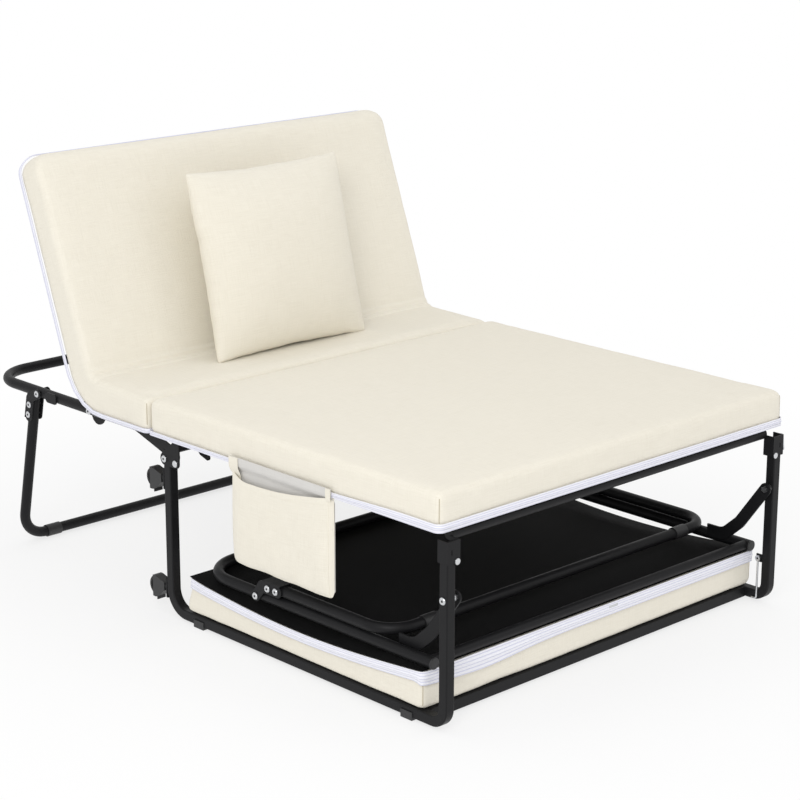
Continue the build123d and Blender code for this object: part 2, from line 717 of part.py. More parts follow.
def make_pillow():
    """A square pillow that stands on the head mattress and leans towards the backrest."""
    half = pillow_size / 2
    faces = []
    for rise_share, inset_share in pillow_shares:
        inset = inset_share * pillow_size
        outline = pad_outline(half, -half, half, inset, pillow_size / 30, pillow_size / 12)
        faces.append(Pos(0, 0, rise_share * pillow_thickness / 2) * outline)
    pillow = loft(faces, ruled=True)
    lean_sin = sin(radians(pillow_slope))
    lean_cos = cos(radians(pillow_slope))
    rise_share, inset_share = pillow_shares[len(pillow_shares) // 2]
    lowest = inset_share * pillow_size * lean_sin - rise_share * pillow_thickness / 2 * lean_cos
    base_z = pad_z + mattress_thickness + fit_gap - lowest
    lean = Plane(origin=(pillow_x, pillow_y, base_z), x_dir=(1, 0, 0), z_dir=(0, -lean_sin, lean_cos))
    save("pillow", lean.location * (Pos(0, half, 0) * pillow))


def make_head():
    plane = Plane(origin=(0, 0, frame_z), x_dir=(1, 0, 0), z_dir=(0, 0, 1))
    tube = u_tube(side_x, head_tube_start_y, head_bar_y, head_bend_radius, tube_radius, plane, tube_radius)
    side = rod_y(side_x, head_tube_start_y, head_leg_pivot_y, frame_z, tube_radius)
    cross = rod_x(-side_x, side_x, head_cross_y, frame_z, cross_radius)
    for solid in both_sides(side):
        cross = cross - solid
    tube = tube - bolt_hole_x(-base_half, base_half, head_leg_pivot_y, frame_z, 0)
    tube = tube - bolt_hole_x(-base_half, base_half, back_pivot_y, frame_z, 0)
    save("head_frame_tube", tube, cross)
    save("head_tube_caps", *both_sides(tube_cap(side_x, head_tube_start_y, frame_z)))
    plate = yz_plate(tube_outer, tube_outer + plate_thickness, hull_of([
        (hinge_y, hinge_z, bolt_head_radius + 2 * plate_thickness),
        (head_tube_start_y + tube_radius, frame_z, tube_radius),
        (head_tube_start_y + 5 * tube_radius, frame_z, tube_radius / 2),
    ]))
    plate = plate - bolt_hole_x(tube_outer - overrun, leg_inner, hinge_y, hinge_z)
    save("head_hinge_plates", *both_sides(plate))
    lock_front = head_leg_pivot_y - lock_reach
    lock = yz_plate(tube_outer, tube_outer + plate_thickness, hull_of([
        (lock_front, frame_z + tube_radius / 2, tube_radius / 2),
        (lock_front, frame_z - tube_radius / 2, tube_radius / 2),
        (head_leg_pivot_y - lock_reach + 2 * tube_radius, frame_z, tube_radius),
    ]))
    ratchet_x = tube_inner - 2 * hinge_gap
    disc = RegularPolygon(2 * tube_radius, 16)
    ratchet = yz_plate(ratchet_x, tube_inner, Pos(back_pivot_y, frame_z - tube_radius) * disc)
    ratchet = ratchet - block(ratchet_x - overrun, tube_inner + overrun, back_pivot_y - 4 * tube_radius,
                              back_pivot_y + 4 * tube_radius, deck_z, deck_z + 4 * tube_radius)
    ratchet = ratchet - bolt_hole_x(ratchet_x - overrun, tube_inner + overrun, back_pivot_y, frame_z, 0)
    save("head_lock_plates", *both_sides(lock), *both_sides(ratchet))
    pivot = bolt_x(tube_outer, back_side_x - back_tube_radius - fit_gap, back_pivot_y, frame_z)
    save("head_bolts", *both_sides(frame_pivot_bolt(side_x, head_leg_pivot_y, frame_z)), *both_sides(pivot))
    deck_end = flat_end_y + tube_radius
    deck = block(-tube_outer, tube_outer, head_tube_start_y, deck_end, deck_z, deck_z + deck_thickness)
    save("head_deck", deck)
    save("head_mattress", bent_pad("head"))
    save("head_zip_band", *bent_zip("head"))
    make_pillow()


def make_back():
    along = (0, slope_cos, slope_sin)
    normal = (0, -slope_sin, slope_cos)
    plane = Plane(origin=(0, back_pivot_y, frame_z), x_dir=(1, 0, 0), z_dir=normal)
    start = -back_tube_radius
    tube = u_tube(back_side_x, start, back_bar_s, back_bend_radius, back_tube_radius, plane)
    hole = bolt_hole_x(-base_half, base_half, back_pivot_y, frame_z)
    save("back_frame_tube", tube - hole)
    reach = back_side_x + back_tube_radius
    sheet = block(-reach, reach, 6 * back_tube_radius, back_bar_s + back_tube_radius,
                  back_tube_radius, back_tube_radius + deck_thickness)
    save("back_deck", plane.location * sheet)
    save("back_mattress", bent_pad("back"))
    save("back_zip_band", *bent_zip("back"))


def make_foot():
    plane = Plane(origin=(0, 0, foot_tube_z), x_dir=(1, 0, 0), z_dir=(0, 0, 1))
    runs = (foot_side_x, foot_tube_start_y, foot_bar_y)
    tube = u_tube(*runs, head_bend_radius, tube_radius, plane, tube_radius)
    tube = tube - bolt_hole_x(-base_width, base_width, foot_leg_pivot_y, foot_tube_z, 0)
    side = rod_y(foot_side_x, foot_tube_start_y, foot_leg_pivot_y, foot_tube_z, tube_radius)
    cross = rod_x(-foot_side_x, foot_side_x, foot_cross_y, foot_tube_z, cross_radius)
    for solid in both_sides(side):
        cross = cross - solid
    save("foot_frame_tube", tube, cross)
    save("foot_tube_caps", *both_sides(tube_cap(foot_side_x, foot_tube_start_y, foot_tube_z)))
    low_z = foot_tube_z + arm_width / 2 + fit_gap
    points = [
        (arm_x, foot_pivot_y, foot_pivot_z),
        (arm_x, arm_elbow_y, arm_elbow_z),
        (arm_x, arm_low_y, low_z),
        (arm_x, arm_end_y, low_z),
    ]
    arm = swept(points, [arm_bend_radius, arm_bend_radius], ((1, 0, 0), Rectangle(arm_thickness, arm_width)))
    half = arm_thickness / 2
    arm = arm + rod_x(arm_x - half, arm_x + half, foot_pivot_y, foot_pivot_z, arm_width / 2)
    arm = arm - side - bolt_hole_x(arm_x - 2 * half, arm_x + 2 * half, foot_pivot_y, foot_pivot_z)
    save("foot_arms", *both_sides(arm))
    save("foot_bolts", *both_sides(frame_pivot_bolt(foot_side_x, foot_leg_pivot_y, foot_tube_z)))
    reach = foot_pad_half - zip_thickness
    deck_end = foot_pad_rear_y - zip_thickness
    deck = block(-reach, reach, foot_tube_start_y, deck_end, foot_deck_z, foot_deck_z + deck_thickness)
    save("foot_deck", deck)
    top = foot_rest_z + foot_pad_thickness
    low = foot_rest_z + cover_crown
    outline = (foot_pad_half, foot_pad_front_y, foot_pad_rear_y)
    save("foot_mattress", flat_pad(*outline, top, low, mattress_corner))
    save("foot_zip_band", zip_band(*outline, top, -1, mattress_corner))
    save("zip_slider", zip_slider())


def make_hook():
    """A wire hook that hangs from a stud beside the far front leg."""
    x = leg_inner - hook_radius - fit_gap
    eye = rod_x(x - hook_radius, x + hook_radius, hook_y, hook_z, 3 * hook_radius)
    points = [(x, hook_y, hook_z - 2 * hook_radius), (x, hook_y, hook_low_z + hook_radius),
              (x, hook_y + 6 * hook_radius, hook_low_z + hook_radius)]
    wire = swept(points, [3 * hook_radius], ((1, 0, 0), Circle(hook_radius)))
    reach = 2 * hook_radius
    bore = rod_x(x - reach, x + reach, hook_y, hook_z, hook_radius + run_gap)
    save("stow_hook", eye + wire - bore)


def latch_pin():
    """The rivet on which the latch lever turns."""
    x0 = base_half + cap_gap + cap_plate
    top = cap_high_z - latch_width / 2
    shank = rod_x(x0, x0 + latch_thickness + 2 * fit_gap, latch_width / 2, top, latch_width / 4)
    head_x = x0 + latch_thickness + 2 * fit_gap
    return shank + rod_x(head_x, head_x + latch_width / 8, latch_width / 2, top, latch_width / 3)


def make_latch():
    """The small lever on the outer face of the far front cap."""
    x0 = base_half + cap_gap + cap_plate + fit_gap
    top = cap_high_z - latch_width / 2
    lever = yz_plate(x0, x0 + latch_thickness, hull_of([
        (latch_width / 2, top, latch_width / 2),
        (0, top - latch_length + latch_width, latch_width / 3),
    ]))
    ends = (x0 - overrun, x0 + latch_thickness + overrun)
    bore = rod_x(*ends, latch_width / 2, top, latch_width / 4 + run_gap)
    save("seat_latch_lever", lever - bore)


make_base()
make_casters()
make_seat()
make_pocket()
make_head()
make_back()
folding_leg("head_leg", leg_plane(head_leg_pivot_y, frame_z, leg_tilt, 1), leg_length, side_x)
make_foot()
folding_leg("foot_leg", leg_plane(foot_leg_pivot_y, foot_tube_z, 0, -1), foot_leg_length, foot_side_x)
make_hook()
make_latch()
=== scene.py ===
import json
import math

import bmesh
import bpy
from mathutils import Matrix, Vector, noise
from mathutils.bvhtree import BVHTree


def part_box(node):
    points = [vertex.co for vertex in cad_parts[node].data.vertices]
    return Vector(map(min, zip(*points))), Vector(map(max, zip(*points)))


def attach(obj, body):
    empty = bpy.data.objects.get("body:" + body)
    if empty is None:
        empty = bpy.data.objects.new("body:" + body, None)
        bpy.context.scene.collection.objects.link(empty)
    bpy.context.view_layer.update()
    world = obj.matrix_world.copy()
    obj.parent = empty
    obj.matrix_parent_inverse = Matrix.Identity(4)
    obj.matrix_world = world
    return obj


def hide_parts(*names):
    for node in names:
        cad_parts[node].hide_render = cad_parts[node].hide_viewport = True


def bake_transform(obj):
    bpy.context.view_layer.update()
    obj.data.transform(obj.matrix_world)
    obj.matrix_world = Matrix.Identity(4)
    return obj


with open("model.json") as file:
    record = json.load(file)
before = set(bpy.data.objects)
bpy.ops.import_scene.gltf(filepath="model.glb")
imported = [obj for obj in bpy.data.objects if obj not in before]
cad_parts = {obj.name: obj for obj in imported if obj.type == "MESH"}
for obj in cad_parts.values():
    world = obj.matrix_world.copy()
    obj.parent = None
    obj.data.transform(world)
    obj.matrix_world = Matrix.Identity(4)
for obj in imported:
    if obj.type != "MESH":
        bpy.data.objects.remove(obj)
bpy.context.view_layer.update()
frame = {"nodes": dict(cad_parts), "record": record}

MM = 0.001

# Shape of the bent mattress, as the frame's own mattress has it
thickness = 70 * MM
bend_outer = 115 * MM
slope = math.radians(70)
flat_run = 156 * MM
back_run = 436 * MM
bend_middle = bend_outer - thickness / 2
lounge_length = flat_run + bend_middle * slope + back_run

# Covers, zips and seams
corner_radius = 14 * MM
edge_radius = 12 * MM
top_corner_radius = 40 * MM
top_round = 26 * MM
zip_height = 16 * MM
foot_zip_height = 19 * MM
lounge_zip_height = 9 * MM
cell = 8 * MM
seam_radius = 0.8 * MM
seam_sink = 0.2
cover_pressure = 3.0
cover_give = 3.5 * MM
cover_unevenness = 0.9 * MM
unevenness_size = 110 * MM
tape_thickness = 1.2 * MM
teeth_rise = 1.2 * MM
tape_row_step = 24 * MM
under_deck = 2.5 * MM
same_place = 1e-6

seat_low, seat_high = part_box("seat_mattress")
head_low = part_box("head_mattress")[0]
foot_low, foot_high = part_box("foot_mattress")
pillow_low, pillow_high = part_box("pillow")
pocket_low, pocket_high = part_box("side_pocket")
rail_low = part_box("side_frame_left")[0]
seam_y = head_low.y
pad_z = head_low.z
half_width = seat_high.x
bend_y = seam_y + flat_run
bend_z = pad_z + bend_outer
rail_high_x = -rail_low.x
pocket_width = pocket_high.y - pocket_low.y
pocket_back_x = pocket_high.x
pillow_y = 205 * MM


# Materials

def new_material(name):
    """An empty node material with its shader and output."""
    mat = bpy.data.materials.new(name)
    mat.use_nodes = True
    tree = mat.node_tree
    tree.nodes.clear()
    out = tree.nodes.new("ShaderNodeOutputMaterial")
    shader = tree.nodes.new("ShaderNodeBsdfPrincipled")
    tree.links.new(shader.outputs["BSDF"], out.inputs["Surface"])
    return mat, tree, shader


def node(tree, kind, **values):
    made = tree.nodes.new("ShaderNode" + kind)
    for key, value in values.items():
        if key in made.inputs:
            made.inputs[key].default_value = value
        else:
            setattr(made, key, value)
    return made


def math_node(tree, operation, a, b=None):
    made = tree.nodes.new("ShaderNodeMath")
    made.operation = operation
    for index, value in enumerate((a, b)):
        if value is None:
            continue
        if isinstance(value, (int, float)):
            made.inputs[index].default_value = value
        else:
            tree.links.new(value, made.inputs[index])
    return made.outputs[0]


def ramp(tree, factor, stops):
    made = tree.nodes.new("ShaderNodeValToRGB")
    tree.links.new(factor, made.inputs["Fac"])
    elements = made.color_ramp.elements
    while len(elements) < len(stops):
        elements.new(0.5)
    for element, (place, colour) in zip(elements, stops):
        element.position = place
        element.color = (*colour, 1)
    return made.outputs["Color"]


def mix_colour(tree, factor, a, b, blend_type="MIX"):
    made = tree.nodes.new("ShaderNodeMix")
    made.data_type = "RGBA"
    made.blend_type = blend_type
    for socket, value in ((made.inputs[0], factor), (made.inputs[6], a), (made.inputs[7], b)):
        if isinstance(value, (int, float)):
            socket.default_value = value
        elif isinstance(value, tuple):
            socket.default_value = (*value, 1)
        else:
            tree.links.new(value, socket)
    return made.outputs[2]


def bump(tree, shader, height, strength, distance, before=None):
    made = tree.nodes.new("ShaderNodeBump")
    made.inputs["Strength"].default_value = strength
    made.inputs["Distance"].default_value = distance
    tree.links.new(height, made.inputs["Height"])
    if before is not None:
        tree.links.new(before, made.inputs["Normal"])
    tree.links.new(made.outputs["Normal"], shader.inputs["Normal"])
    return made.outputs["Normal"]


def stretched_noise(tree, coords, stretch, scale, detail=2.0):
    """Noise drawn out along one direction of the cloth."""
    mapping = tree.nodes.new("ShaderNodeMapping")
    mapping.inputs["Scale"].default_value = stretch
    tree.links.new(coords, mapping.inputs["Vector"])
    made = node(tree, "TexNoise", Scale=scale, Detail=detail, Roughness=0.55)
    tree.links.new(mapping.outputs["Vector"], made.inputs["Vector"])
    return made.outputs["Fac"]


def linen_material(name, light, shade):
    """Slubbed linen: long uneven yarns both ways, fine crossed threads and a soft nap."""
    mat, tree, shader = new_material(name)
    uv = node(tree, "UVMap", uv_map="cloth")
    coords = uv.outputs["UV"]
    along = stretched_noise(tree, coords, (22, 760, 1), 1.0, 3.0)
    across = stretched_noise(tree, coords, (760, 22, 1), 1.0, 3.0)
    slub_a = ramp(tree, along, [(0.42, (0, 0, 0)), (0.72, (1, 1, 1))])
    slub_b = ramp(tree, across, [(0.45, (0, 0, 0)), (0.75, (1, 1, 1))])
    slubs = math_node(tree, "ADD", slub_a, slub_b)
    warp = node(tree, "TexWave", Scale=330.0, Distortion=1.2, wave_type="BANDS", bands_direction="X")
    weft = node(tree, "TexWave", Scale=300.0, Distortion=1.2, wave_type="BANDS", bands_direction="Y")
    for wave in (warp, weft):
        wave.inputs["Detail Scale"].default_value = 3.0
        tree.links.new(coords, wave.inputs["Vector"])
    threads = math_node(tree, "MULTIPLY", warp.outputs["Fac"], weft.outputs["Fac"])
    cloudy = stretched_noise(tree, coords, (3, 3, 1), 1.0, 4.0)
    tone = math_node(tree, "MULTIPLY", slubs, 0.24)
    tone = math_node(tree, "ADD", tone, math_node(tree, "MULTIPLY", threads, 0.22))
    colour = mix_colour(tree, tone, light, shade)
    colour = mix_colour(tree, math_node(tree, "MULTIPLY", cloudy, 0.12), colour, shade)
    tree.links.new(colour, shader.inputs["Base Color"])
    shader.inputs["Roughness"].default_value = 0.88
    shader.inputs["Sheen Weight"].default_value = 0.15
    shader.inputs["Sheen Roughness"].default_value = 0.5
    shader.inputs["Specular IOR Level"].default_value = 0.25
    first = bump(tree, shader, threads, 0.25, 0.0006)
    bump(tree, shader, slubs, 0.35, 0.0007, first)
    return mat


def zip_material():
    """White zip tape: the rows of tape and teeth run along it, with a faint cool tint between."""
    mat, tree, shader = new_material("white_zip_tape")
    uv = node(tree, "UVMap", uv_map="cloth")
    split = node(tree, "SeparateXYZ")
    tree.links.new(uv.outputs["UV"], split.inputs["Vector"])
    turns = 2 * math.pi / (zip_height / 4)
    rows = math_node(tree, "SINE", math_node(tree, "MULTIPLY", split.outputs["Y"], turns))
    rows = ramp(tree, math_node(tree, "ADD", math_node(tree, "MULTIPLY", rows, 0.5), 0.5),
                [(0.02, (0, 0, 0)), (0.35, (1, 1, 1))])
    ribs = node(tree, "TexWave", Scale=420.0, Distortion=0.4, wave_type="BANDS", bands_direction="X")
    tree.links.new(uv.outputs["UV"], ribs.inputs["Vector"])
    fine = stretched_noise(tree, uv.outputs["UV"], (40, 600, 1), 1.0)
    colour = mix_colour(tree, rows, (0.66, 0.67, 0.82), (0.90, 0.90, 0.955))
    rib_tint = math_node(tree, "MULTIPLY", ribs.outputs["Fac"], 0.12)
    colour = mix_colour(tree, rib_tint, colour, (0.74, 0.74, 0.86))
    fine_tint = math_node(tree, "MULTIPLY", fine, 0.10)
    colour = mix_colour(tree, fine_tint, colour, (0.70, 0.70, 0.82))
    tree.links.new(colour, shader.inputs["Base Color"])
    shader.inputs["Roughness"].default_value = 0.62
    shader.inputs["Sheen Weight"].default_value = 0.1
    first = bump(tree, shader, ribs.outputs["Fac"], 0.4, 0.0005)
    bump(tree, shader, rows, 0.5, 0.0009, first)
    return mat


def seam_shade_material():
    """Seam stitching, darker than the cover round it: partly the sewing yarn's own colour, partly
    painted shade of the groove the seam sinks into.
    """
    mat, tree, shader = new_material("seam_stitch_and_painted_shade")
    twist = object_noise(tree, 900.0, 2.0)
    # these dark colours are partly painted shade: the shade in the seam's groove
    colour = mix_colour(tree, twist, (0.42, 0.37, 0.27), (0.58, 0.52, 0.39))
    tree.links.new(colour, shader.inputs["Base Color"])
    shader.inputs["Roughness"].default_value = 0.9
    bump(tree, shader, twist, 0.3, 0.0003)
    return mat


def object_noise(tree, scale, detail=3.0):
    where = node(tree, "TexCoord")
    made = node(tree, "TexNoise", Scale=scale, Detail=detail, Roughness=0.6)
    tree.links.new(where.outputs["Object"], made.inputs["Vector"])
    return made.outputs["Fac"]


def powder_coat():
    """Black powder coat on steel tube: fine orange peel, slightly duller patches."""
    mat, tree, shader = new_material("black_powder_coat")
    peel = object_noise(tree, 1400.0, 2.0)
    patches = object_noise(tree, 18.0, 4.0)
    colour = mix_colour(tree, patches, (0.008, 0.008, 0.009), (0.014, 0.014, 0.015))
    tree.links.new(colour, shader.inputs["Base Color"])
    rough = ramp(tree, patches, [(0.3, (0.36, 0.36, 0.36)), (0.7, (0.50, 0.50, 0.50))])
    tree.links.new(rough, shader.inputs["Roughness"])
    shader.inputs["Specular IOR Level"].default_value = 0.15
    bump(tree, shader, peel, 0.12, 0.0004)
    return mat


def deck_material():
    """Black woven deck cloth."""
    mat, tree, shader = new_material("black_deck_cloth")
    where = node(tree, "TexCoord")
    warp = node(tree, "TexWave", Scale=260.0, Distortion=0.5, bands_direction="X")
    weft = node(tree, "TexWave", Scale=260.0, Distortion=0.5, bands_direction="Y")
    for wave in (warp, weft):
        tree.links.new(where.outputs["Object"], wave.inputs["Vector"])
    weave = math_node(tree, "MULTIPLY", warp.outputs["Fac"], weft.outputs["Fac"])
    soft = object_noise(tree, 6.0, 3.0)
    colour = mix_colour(tree, weave, (0.002, 0.002, 0.0022), (0.006, 0.006, 0.0065))
    colour = mix_colour(tree, math_node(tree, "MULTIPLY", soft, 0.4), colour, (0.006, 0.006, 0.006))
    tree.links.new(colour, shader.inputs["Base Color"])
    shader.inputs["Roughness"].default_value = 0.8
    shader.inputs["Specular IOR Level"].default_value = 0.12
    bump(tree, shader, weave, 0.3, 0.0005)
    return mat


def plastic_material():
    """Black moulded plastic with a fine spark-eroded grain."""
    mat, tree, shader = new_material("black_moulded_plastic")
    grain = object_noise(tree, 2600.0, 2.0)
    tone = object_noise(tree, 60.0, 2.0)
    colour = mix_colour(tree, tone, (0.014, 0.014, 0.015), (0.024, 0.024, 0.025))
    tree.links.new(colour, shader.inputs["Base Color"])
    shader.inputs["Roughness"].default_value = 0.5
    bump(tree, shader, grain, 0.15, 0.0003)
    return mat


def zinc_material():
    """Bright zinc plate with fine drawn marks."""
    mat, tree, shader = new_material("zinc_plate")
    marks = object_noise(tree, 900.0, 3.0)
    colour = mix_colour(tree, marks, (0.52, 0.53, 0.55), (0.72, 0.73, 0.74))
    tree.links.new(colour, shader.inputs["Base Color"])
    shader.inputs["Metallic"].default_value = 1.0
    shader.inputs["Roughness"].default_value = 0.28
    bump(tree, shader, marks, 0.1, 0.0002)
    return mat


def rubber_material():
    """Dark caster tread."""
    mat, tree, shader = new_material("caster_tread")
    grain = object_noise(tree, 700.0, 3.0)
    colour = mix_colour(tree, grain, (0.010, 0.010, 0.010), (0.022, 0.022, 0.022))
    tree.links.new(colour, shader.inputs["Base Color"])
    shader.inputs["Roughness"].default_value = 0.7
    bump(tree, shader, grain, 0.2, 0.0003)
    return mat


linen = linen_material("cream_linen", (0.84, 0.80, 0.70), (0.69, 0.64, 0.53))
lining = linen_material("grey_pocket_lining", (0.66, 0.645, 0.62), (0.56, 0.545, 0.52))
zip_tape = zip_material()
seam_thread_shade = seam_shade_material()
coat = powder_coat()
deck_cloth = deck_material()
plastic = plastic_material()
zinc = zinc_material()
tread = rubber_material()

finish_of_slot = {
    "black_frame": coat,
    "deck_fabric": deck_cloth,
    "linen": linen,
    "zip_tape": zip_tape,
    "zinc": zinc,
    "black_plastic": plastic,
    "wheel_rubber": tread,
}


def dress_frame():
    """Gives every part of the frame its finish."""
    slots = {s["node"]: s["material_slot"] for s in frame["record"]["subparts"]}
    for name, obj in frame["nodes"].items():
        obj.data.materials.clear()
        obj.data.materials.append(finish_of_slot[slots[name]])


# Modelling helpers

def deselect():
    if bpy.context.mode != "OBJECT":
        bpy.ops.object.mode_set(mode="OBJECT")
    bpy.ops.object.select_all(action="DESELECT")


def activate(obj):
    deselect()
    obj.select_set(True)
    bpy.context.view_layer.objects.active = obj


def box_piece(name, low, high):
    """A cube primitive brought to the size and place of a box."""
    deselect()
    centre = (Vector(low) + Vector(high)) / 2
    bpy.ops.mesh.primitive_cube_add(size=1, location=centre)
    obj = bpy.context.object
    obj.name = name
    obj.scale = Vector(high) - Vector(low)
    bpy.ops.object.transform_apply(location=True, rotation=True, scale=True)
    return obj


def pick_edges(obj, test):
    """Selects the edges whose two ends pass a test, in edit mode."""
    activate(obj)
    bpy.ops.object.mode_set(mode="EDIT")
    bpy.ops.mesh.select_mode(type="EDGE")
    bpy.ops.mesh.select_all(action="DESELECT")
    bm = bmesh.from_edit_mesh(obj.data)
    for edge in bm.edges:
        edge.select_set(test(edge.verts[0].co, edge.verts[1].co))
    bmesh.update_edit_mesh(obj.data)


def apply(obj, modifier):
    activate(obj)
    bpy.ops.object.modifier_apply(modifier=modifier.name)


def smooth(obj, angle=math.radians(40)):
    activate(obj)
    bpy.ops.object.shade_smooth_by_angle(angle=angle)


def rounded_block(name, low, high, corner, edge, end_corner=None):
    """A foam block: upright corners rounded first, then the top and bottom edges."""
    obj = box_piece(name, low, high)
    round_corners(obj, corner, end_corner)
    mid = (low[2] + high[2]) / 2
    pick_edges(obj, lambda a, b: abs(a.z - b.z) < same_place and abs(a.z - mid) > same_place)
    bpy.ops.mesh.bevel(offset=edge, segments=4, affect="EDGES")
    bpy.ops.object.mode_set(mode="OBJECT")
    return obj


def round_corners(obj, corner, end_corner=None):
    """Rounds the upright corners, those at the far end by a radius of their own."""
    middle = sum(v.co.y for v in obj.data.vertices) / len(obj.data.vertices)
    for far, radius in ((False, corner), (True, end_corner or corner)):
        pick_edges(obj, lambda a, b: abs(a.z - b.z) > same_place and abs(a.x - b.x) < same_place
                   and (a.y > middle) == far)
        bpy.ops.mesh.bevel(offset=radius, segments=8, affect="EDGES")
        bpy.ops.object.mode_set(mode="OBJECT")


def remesh(obj, voxel):
    """Even cells over the block, drawn back onto its crisp edges."""
    activate(obj)
    bpy.ops.object.duplicate()
    clean = bpy.context.object
    mod = obj.modifiers.new("cells", "REMESH")
    mod.mode = "VOXEL"
    mod.voxel_size = voxel
    mod.use_smooth_shade = True
    apply(obj, mod)
    wrap = obj.modifiers.new("onto", "SHRINKWRAP")
    wrap.target = clean
    apply(obj, wrap)
    activate(clean)
    bpy.ops.object.delete()


def puff(obj, pressure, cap, frames=20, stiffness=25.0):
    """Fills the cloth with air and keeps each point within a cap of its start."""
    start = [v.co.copy() for v in obj.data.vertices]
    activate(obj)
    cloth = obj.modifiers.new("fill", "CLOTH")
    cloth.settings.use_pressure = True
    cloth.settings.uniform_pressure_force = pressure
    cloth.settings.quality = 5
    cloth.settings.mass = 0.3
    cloth.settings.tension_stiffness = stiffness
    cloth.settings.compression_stiffness = stiffness
    cloth.settings.bending_stiffness = 0.6
    cloth.settings.effector_weights.gravity = 0.0
    cloth.collision_settings.use_self_collision = False
    cloth.point_cache.frame_start = 1
    cloth.point_cache.frame_end = frames
    scene = bpy.context.scene
    for step in range(1, frames + 1):
        scene.frame_set(step)
    apply(obj, cloth)
    scene.frame_set(1)
    for v, was in zip(obj.data.vertices, start):
        move = v.co - was
        if move.length > cap:
            v.co = was + move.normalized() * cap


def subdivide(obj, levels=1):
    mod = obj.modifiers.new("fine", "SUBSURF")
    mod.levels = levels
    mod.render_levels = levels
    apply(obj, mod)


def slack(obj, amount, size, seed):
    """Shallow unevenness of cover cloth over foam, along each point's normal."""
    normals = [v.normal.copy() for v in obj.data.vertices]
    offset = Vector((seed, 2 * seed, 3 * seed))
    for v, n in zip(obj.data.vertices, normals):
        lift = noise.noise(v.co / size + offset) + 0.5 * noise.noise(v.co * 2.3 / size - offset)
        v.co += n * lift * amount


def cloth_map(obj, flat=None):
    """Lays a UV map in metres on each face, by the way the face looks before the piece is bent."""
    mesh = obj.data
    places = flat or [v.co.copy() for v in mesh.vertices]
    layer = mesh.uv_layers.get("cloth") or mesh.uv_layers.new(name="cloth")
    for poly in mesh.polygons:
        corners = [places[i] for i in poly.vertices]
        normal = (corners[1] - corners[0]).cross(corners[2] - corners[1])
        size = [abs(normal.x), abs(normal.y), abs(normal.z)]
        axis = size.index(max(size))
        u, v = ((1, 2), (0, 2), (0, 1))[axis]
        for loop, corner in zip(poly.loop_indices, corners):
            layer.data[loop].uv = (corner[u], corner[v])


def cover(obj, material, body, *nodes):
    obj.data.materials.clear()
    obj.data.materials.append(material)
    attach(obj, body)
    if nodes:
        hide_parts(*nodes)


def bent(place):
    """Takes a point of the unbent mattress to where the bend carries it."""
    run = place.y - seam_y
    height = place.z - pad_z
    radius = bend_outer - height
    if run <= flat_run:
        return place.copy()
    turned = min((run - flat_run) / bend_middle, slope)
    y = bend_y + radius * math.sin(turned)
    z = bend_z - radius * math.cos(turned)
    rest = max(run - flat_run - bend_middle * slope, 0)
    return Vector((place.x, y + rest * math.cos(slope), z + rest * math.sin(slope)))


def smoothstep(value, start, end):
    share = min(max((value - start) / (end - start), 0), 1)
    return share * share * (3 - 2 * share)


# Mattresses

def cushion(name, low, high, shape=None, end_corner=None):
    """A foam block in a tight cover: crisp edges, a little air under the cloth, slight unevenness."""
    pad = rounded_block(name, low, high, corner_radius, edge_radius, end_corner)
    remesh(pad, cell)
    cloth_map(pad)
    if shape:
        for v in pad.data.vertices:
            v.co = shape(v.co)
    puff(pad, cover_pressure, cover_give)
    subdivide(pad)
    slack(pad, cover_unevenness, unevenness_size, len(name))
    smooth(pad, math.pi)
    return pad


def seat_mattress():
    """The seat mattress on the seat frame."""
    low = Vector((-half_width, seat_low.y, seat_low.z))
    high = Vector((half_width, seat_high.y, seat_low.z + thickness))
    pad = cushion("seat_cushion", low, high)
    cover(pad, linen, "seat", "seat_mattress")
    corners = [(x, y) for x in (low.x, high.x) for y in (low.y, high.y)]
    for index, (x, y) in enumerate(corners):
        line = [Vector((x, y, z)) for z in spread(low.z + zip_height, high.z - edge_radius / 2, 8)]
        seam(f"seat_corner_seam_{index}", pad, line, "seat")
    return pad


def spread(start, end, count):
    return [start + (end - start) * i / (count - 1) for i in range(count)]


def seam(name, pad, line, body):
    """A line of stitching laid on the cover along a list of points beside it; its dark colour is
    partly painted shade of the seam's groove.
    """
    tree = BVHTree.FromObject(pad, bpy.context.evaluated_depsgraph_get())
    curve = bpy.data.curves.new(name, "CURVE")
    curve.dimensions = "3D"
    curve.bevel_depth = seam_radius
    curve.bevel_resolution = 1
    spline = curve.splines.new("POLY")
    spline.points.add(len(line) - 1)
    for point, near in zip(spline.points, line):
        at, normal = tree.find_nearest(near)[:2]
        point.co = (*(at + normal * seam_radius * seam_sink), 1)
    made = bpy.data.objects.new(name, curve)
    bpy.context.scene.collection.objects.link(made)
    activate(made)
    bpy.ops.object.convert(target="MESH")
    # the dark finish of the seam line is partly painted shade of its groove
    cover(made, seam_thread_shade, body)
    return made


def lounge_shape(place):
    """Rounds off the top of the backrest, creases the bend and carries the flat block round it."""
    crease_width = 8 * MM
    crease_shares = (0.3, 0.55, 0.8)
    crease_depths = (2.5 * MM, 6.0 * MM, 2.0 * MM)
    run = place.y - seam_y - flat_run
    top = smoothstep(place.z, pad_z + 0.6 * thickness, pad_z + thickness)
    fold = 0
    for middle, depth in zip(crease_shares, crease_depths):
        away = (run - middle * bend_middle * slope) / crease_width
        waver = 1 + 0.4 * noise.noise(Vector((place.x * 6, middle * 9, 0)))
        fold += depth * waver * math.exp(-away * away)
    near_end = max(0, 1 - (seam_y + lounge_length - place.y) / top_round)
    middle_z = pad_z + thickness / 2
    squeeze = math.sqrt(1 - 0.72 * min(near_end, 1) ** 2)
    shaped = place.copy()
    shaped.z = middle_z + (place.z - middle_z) * squeeze - fold * top
    return bent(shaped)


